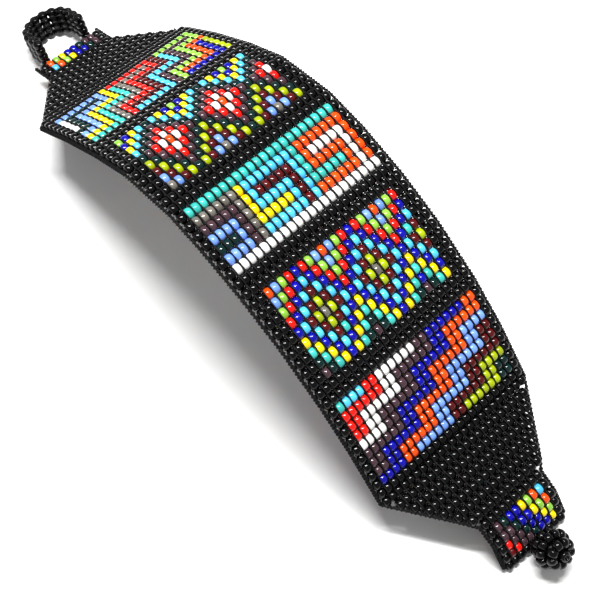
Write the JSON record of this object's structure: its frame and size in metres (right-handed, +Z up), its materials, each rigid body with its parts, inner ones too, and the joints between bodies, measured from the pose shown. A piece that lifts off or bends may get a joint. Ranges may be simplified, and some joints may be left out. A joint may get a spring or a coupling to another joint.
{
  "type": "beaded bracelet",
  "caption": "Flexible loom-woven wrist band of glass seed beads with patterned bands, tapered ends, a beaded ball button and a standing beaded loop.",
  "frame": {"origin": "on the table, midway along the band between the tip of the loop and the outside of the ball", "axes": "+X along the band towards the ball button, +Y across the band, +Z up from the table"},
  "size_m": [0.1555, 0.0376, 0.0388],
  "materials": {
    "black_glass": "opaque, polished",
    "coloured_glass": "opaque and lustred, polished",
    "nylon_thread": "waxed",
    "turned_wood": "stained black"
  },
  "bodies": {
    "tab_loop": {"beads_tab_loop": "black_glass", "threads_tab_loop": "nylon_thread", "loop_beads": "black_glass", "loop_threads": "nylon_thread"},
    "taper_loop": {"beads_taper_loop": "black_glass", "threads_taper_loop": "nylon_thread"},
    "band1_start": {"ground_band1_start": "black_glass", "motif_band1_start": "coloured_glass", "threads_band1_start": "nylon_thread"},
    "band1_end": {"ground_band1_end": "black_glass", "motif_band1_end": "coloured_glass", "threads_band1_end": "nylon_thread"},
    "band2_start": {"ground_band2_start": "black_glass", "motif_band2_start": "coloured_glass", "threads_band2_start": "nylon_thread"},
    "band2_end": {"ground_band2_end": "black_glass", "motif_band2_end": "coloured_glass", "threads_band2_end": "nylon_thread"},
    "band3_start": {"ground_band3_start": "black_glass", "motif_band3_start": "coloured_glass", "threads_band3_start": "nylon_thread"},
    "band3_end": {"ground_band3_end": "black_glass", "motif_band3_end": "coloured_glass", "threads_band3_end": "nylon_thread"},
    "band4_start": {"ground_band4_start": "black_glass", "motif_band4_start": "coloured_glass", "threads_band4_start": "nylon_thread"},
    "band4_end": {"ground_band4_end": "black_glass", "motif_band4_end": "coloured_glass", "threads_band4_end": "nylon_thread"},
    "band5_start": {"ground_band5_start": "black_glass", "motif_band5_start": "coloured_glass", "threads_band5_start": "nylon_thread"},
    "band5_end": {"ground_band5_end": "black_glass", "motif_band5_end": "coloured_glass", "threads_band5_end": "nylon_thread"},
    "taper_ball": {"beads_taper_ball": "black_glass", "threads_taper_ball": "nylon_thread"},
    "tab_ball": {"beads_tab_ball": "black_glass", "threads_tab_ball": "nylon_thread"},
    "tip_ball": {"beads_tip_ball": "black_glass", "threads_tip_ball": "nylon_thread", "ball_beads": "black_glass", "ball_core": "turned_wood", "ball_threads": "nylon_thread"}
  },
  "joints": [
    {"name": "bend_01", "type": "hinge", "parent": "taper_loop", "child": "tab_loop", "pos_m": [-0.06161, 0, 0.00659], "axis": [0, -1, 0], "range_deg": [-14.1, 33.8]},
    {"name": "bend_02", "type": "hinge", "parent": "band1_start", "child": "taper_loop", "pos_m": [-0.05059, 0, 0.0127], "axis": [0, -1, 0], "range_deg": [-9, 38.7]},
    {"name": "bend_03", "type": "hinge", "parent": "band1_end", "child": "band1_start", "pos_m": [-0.03932, 0, 0.02215], "axis": [0, -1, 0], "range_deg": [-24, 23]},
    {"name": "bend_04", "type": "hinge", "parent": "band2_start", "child": "band1_end", "pos_m": [-0.02913, 0, 0.02956], "axis": [0, -1, 0], "range_deg": [-25, 21.2]},
    {"name": "bend_05", "type": "hinge", "parent": "band2_end", "child": "band2_start", "pos_m": [-0.02013, 0, 0.03497], "axis": [0, -1, 0], "range_deg": [-38, 7.3]},
    {"name": "bend_06", "type": "hinge", "parent": "band3_start", "child": "band2_end", "pos_m": [-0.00785, 0, 0.0378], "axis": [0, -1, 0], "range_deg": [-38, 6.4]},
    {"name": "bend_07", "type": "hinge", "parent": "band3_start", "child": "band3_end", "pos_m": [0.00051, 0, 0.03707], "axis": [0, 1, 0], "range_deg": [-29, 15]},
    {"name": "bend_08", "type": "hinge", "parent": "band3_end", "child": "band4_start", "pos_m": [0.0107, 0, 0.03453], "axis": [0, 1, 0], "range_deg": [-28, 15.7]},
    {"name": "bend_09", "type": "hinge", "parent": "band4_start", "child": "band4_end", "pos_m": [0.02044, 0, 0.03059], "axis": [0, 1, 0], "range_deg": [-29, 14.9]},
    {"name": "bend_10", "type": "hinge", "parent": "band4_end", "child": "band5_start", "pos_m": [0.03124, 0, 0.02411], "axis": [0, 1, 0], "range_deg": [-28, 16.4]},
    {"name": "bend_11", "type": "hinge", "parent": "band5_start", "child": "band5_end", "pos_m": [0.0394, 0, 0.0175], "axis": [0, 1, 0], "range_deg": [-26, 19.1]},
    {"name": "bend_12", "type": "hinge", "parent": "band5_end", "child": "taper_ball", "pos_m": [0.04831, 0, 0.00859], "axis": [0, 1, 0], "range_deg": [-4, 71]},
    {"name": "bend_13", "type": "hinge", "parent": "taper_ball", "child": "tab_ball", "pos_m": [0.06091, 0, 0.00859], "axis": [0, 1, 0], "range_deg": [-46, 1]},
    {"name": "bend_14", "type": "hinge", "parent": "tab_ball", "child": "tip_ball", "pos_m": [0.06657, 0, 0.00583], "axis": [0, 1, 0], "range_deg": [-44, 3.4]}
  ]
}
